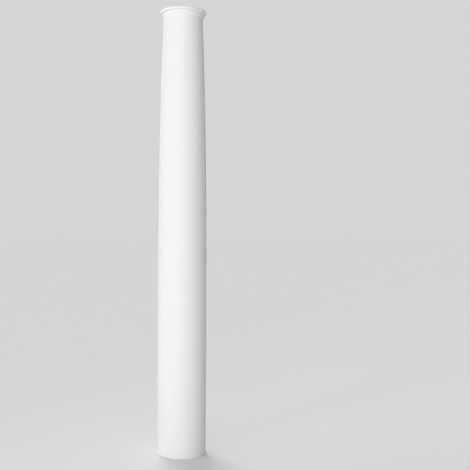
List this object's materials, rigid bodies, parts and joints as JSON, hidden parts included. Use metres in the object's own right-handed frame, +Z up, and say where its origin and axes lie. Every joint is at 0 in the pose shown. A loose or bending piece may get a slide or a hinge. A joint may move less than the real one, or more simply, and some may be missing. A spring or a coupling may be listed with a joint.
{
  "type": "column shaft",
  "caption": "Tapering round column shaft with a gentle swelling, a beaded moulding round its top and a plain cut foot, to stand between a base and a capital.",
  "frame": {"origin": "middle of the flat underside of the foot, on the surface that the shaft stands on", "axes": "+Z up along the shaft's axis; X and Y are alike, because the shaft is round"},
  "size_m": [0.242, 0.242, 2.2],
  "materials": {
    "white_primer": "matt white primer on smooth rigid moulded foam, with a very fine even grain"
  },
  "bodies": {
    "root": {"column_shaft": "white_primer"}
  },
  "joints": []
}
